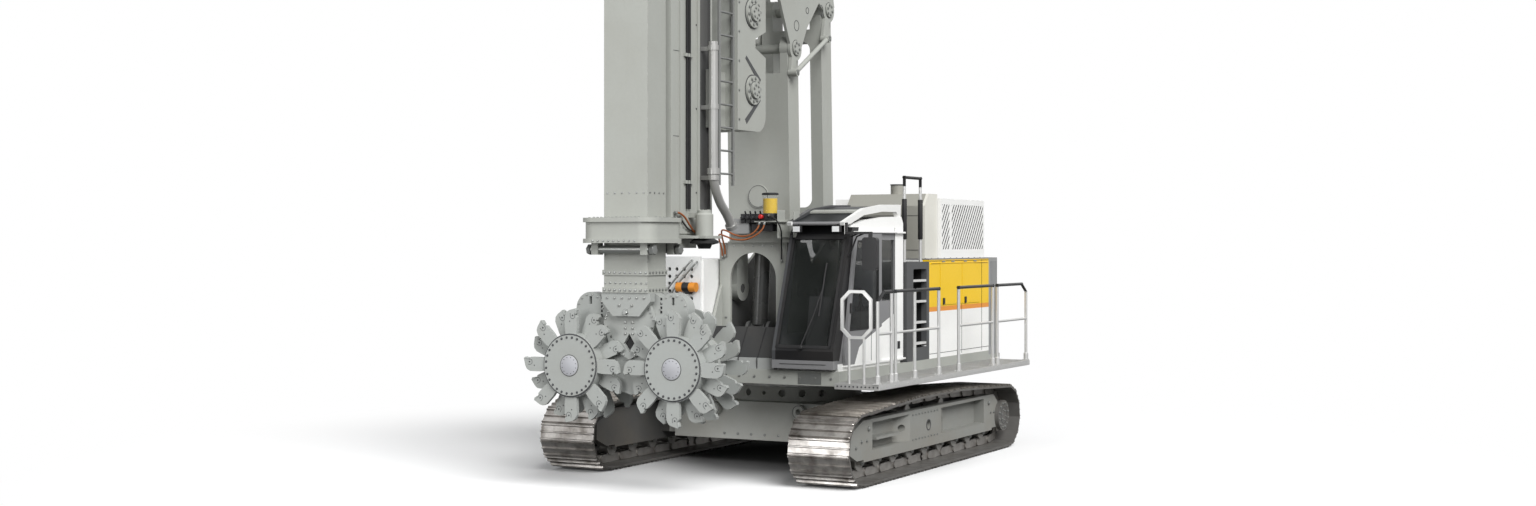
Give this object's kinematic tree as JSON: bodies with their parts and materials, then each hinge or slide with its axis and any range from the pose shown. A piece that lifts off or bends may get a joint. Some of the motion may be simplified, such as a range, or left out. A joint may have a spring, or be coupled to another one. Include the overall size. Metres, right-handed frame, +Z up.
{
  "type": "crawler drilling rig",
  "caption": "Crawler drilling rig: slewing upper carriage with cab and engine hood, two arms and a rocker head holding a tall leader, and a box kelly with twin toothed cutter wheels.",
  "frame": {"origin": "on the ground under the slewing axis", "axes": "+Z up, -Y to the front where the leader stands, +X to the machine's left, the cab side"},
  "size_m": [4.34, 8.448, 22.3398],
  "materials": {
    "grey_paint": "light grey machine paint",
    "white_paint": "white machine paint",
    "yellow_paint": "yellow hood paint",
    "dark_paint": "dark grey paint",
    "worn_steel": "worn brown steel with bright edges",
    "bare_steel": "bare steel",
    "cast_grey": "grey cast ballast",
    "engine_iron": "engine iron",
    "rail_alu": "plain aluminium tube",
    "tinted_glass": "tinted glass",
    "cab_plastic": "dark cab trim",
    "chrome_rod": "ground and plated rod"
  },
  "bodies": {
    "undercarriage": {"carbody": "grey_paint", "slew_ring": "bare_steel", "side_frame_left": "grey_paint", "side_frame_right": "grey_paint", "track_left": "worn_steel", "track_right": "worn_steel", "idlers": "worn_steel", "sprockets": "worn_steel", "rollers": "worn_steel", "lashing_eyes": "grey_paint"},
    "upper": {"deck_frame": "grey_paint", "portal": "grey_paint", "front_cover": "dark_paint", "cab_shell": "white_paint", "cab_glass": "tinted_glass", "cab_interior": "cab_plastic", "cab_visor": "white_paint", "step_panel": "dark_paint", "engine_hood": "white_paint", "engine_block": "engine_iron", "ballast": "cast_grey", "exhaust_box": "grey_paint", "louvre_box": "white_paint", "right_housing": "white_paint", "lamp_panel": "white_paint", "walkway": "grey_paint", "handrails": "rail_alu"},
    "cab_door": {"cab_door": "dark_paint", "cab_door_glass": "tinted_glass"},
    "hood_flap_front": {"hood_flap_front": "yellow_paint"},
    "hood_flap_rear": {"hood_flap_rear": "yellow_paint"},
    "front_arm": {"front_arm": "grey_paint"},
    "rear_arm": {"rear_arm": "grey_paint"},
    "head": {"head": "grey_paint"},
    "lift_barrel": {"lift_barrel": "grey_paint"},
    "lift_rod": {"lift_rod": "chrome_rod"},
    "tilt_barrels": {"tilt_barrels": "grey_paint"},
    "tilt_rods": {"tilt_rods": "chrome_rod"},
    "slide": {"leader_slide": "grey_paint"},
    "leader": {"leader_box": "grey_paint", "leader_ladder": "rail_alu", "leader_head": "grey_paint", "winch": "grey_paint", "foot_guide": "grey_paint"},
    "kelly": {"kelly_box": "grey_paint", "kelly_sled": "grey_paint", "cutter_frame": "bare_steel"},
    "cutter_left": {"cutter_left": "bare_steel"},
    "cutter_right": {"cutter_right": "bare_steel"}
  },
  "joints": [
    {"name": "slew", "type": "hinge", "parent": "undercarriage", "child": "upper", "pos_m": [0, 0, 1.085], "axis": [0, 0, 1], "continuous": true},
    {"name": "cab_door_slide", "type": "slide", "parent": "upper", "child": "cab_door", "axis": [0, 1, 0], "range_m": [0, 0.72]},
    {"name": "hood_flap_front_hinge", "type": "hinge", "parent": "upper", "child": "hood_flap_front", "pos_m": [1.505, 1.8875, 2.622], "axis": [0, -1, 0], "range_deg": [0, 85]},
    {"name": "hood_flap_rear_hinge", "type": "hinge", "parent": "upper", "child": "hood_flap_rear", "pos_m": [1.505, 2.638, 2.622], "axis": [0, -1, 0], "range_deg": [0, 85]},
    {"name": "arm_swing", "type": "hinge", "parent": "upper", "child": "front_arm", "pos_m": [0, -0.85, 2.3], "axis": [1, 0, 0], "range_deg": [-6, 8]},
    {"name": "rear_arm_swing", "type": "hinge", "parent": "upper", "child": "rear_arm", "pos_m": [0, 0.12, 2.9], "axis": [1, 0, 0], "range_deg": [-6.01, 8.01]},
    {"name": "head_level", "type": "hinge", "parent": "front_arm", "child": "head", "pos_m": [0, -0.94832, 5.42846], "axis": [1, 0, 0], "range_deg": [-8.01, 6.01]},
    {"name": "lift_barrel_swing", "type": "hinge", "parent": "upper", "child": "lift_barrel", "pos_m": [0, -1.01, 1.79], "axis": [1, 0, 0], "range_deg": [-3.96, 5.27]},
    {"name": "lift_rod_stroke", "type": "slide", "parent": "lift_barrel", "child": "lift_rod", "axis": [0, 0.0848, 0.9964], "range_m": [-0.0176, 0.0132]},
    {"name": "leader_tilt", "type": "hinge", "parent": "head", "child": "slide", "pos_m": [0, -1.7, 6.7], "axis": [1, 0, 0], "range_deg": [-15, 5]},
    {"name": "tilt_barrel_swing", "type": "hinge", "parent": "head", "child": "tilt_barrels", "pos_m": [0, -0.3, 7.25], "axis": [1, 0, 0], "range_deg": [-8.73, 2.92]},
    {"name": "tilt_rod_stroke", "type": "slide", "parent": "tilt_barrels", "child": "tilt_rods", "axis": [0, -0.7987, 0.6017], "range_m": [-0.3463, 0.1155]},
    {"name": "leader_raise", "type": "slide", "parent": "slide", "child": "leader", "axis": [0, 0, 1], "range_m": [-0.6, 0.8]},
    {"name": "kelly_feed", "type": "slide", "parent": "leader", "child": "kelly", "axis": [0, 0, 1], "range_m": [-14, 0]},
    {"name": "cutter_left_spin", "type": "hinge", "parent": "kelly", "child": "cutter_left", "pos_m": [0.69, -4.06, 1.48], "axis": [0, 1, 0], "continuous": true},
    {"name": "cutter_right_spin", "type": "hinge", "parent": "kelly", "child": "cutter_right", "pos_m": [-0.69, -4.06, 1.48], "axis": [0, 1, 0], "continuous": true}
  ],
  "couplings": [
    {"joint": "rear_arm_swing", "follows": "arm_swing", "ratio": 1},
    {"joint": "head_level", "follows": "arm_swing", "ratio": -1},
    {"joint": "lift_barrel_swing", "follows": "arm_swing", "ratio": 0.65673},
    {"joint": "lift_rod_stroke", "follows": "arm_swing", "m_per_rad": -0.12477},
    {"joint": "tilt_barrel_swing", "follows": "leader_tilt", "ratio": 0.58071},
    {"joint": "tilt_rod_stroke", "follows": "leader_tilt", "m_per_rad": 1.3221}
  ]
}
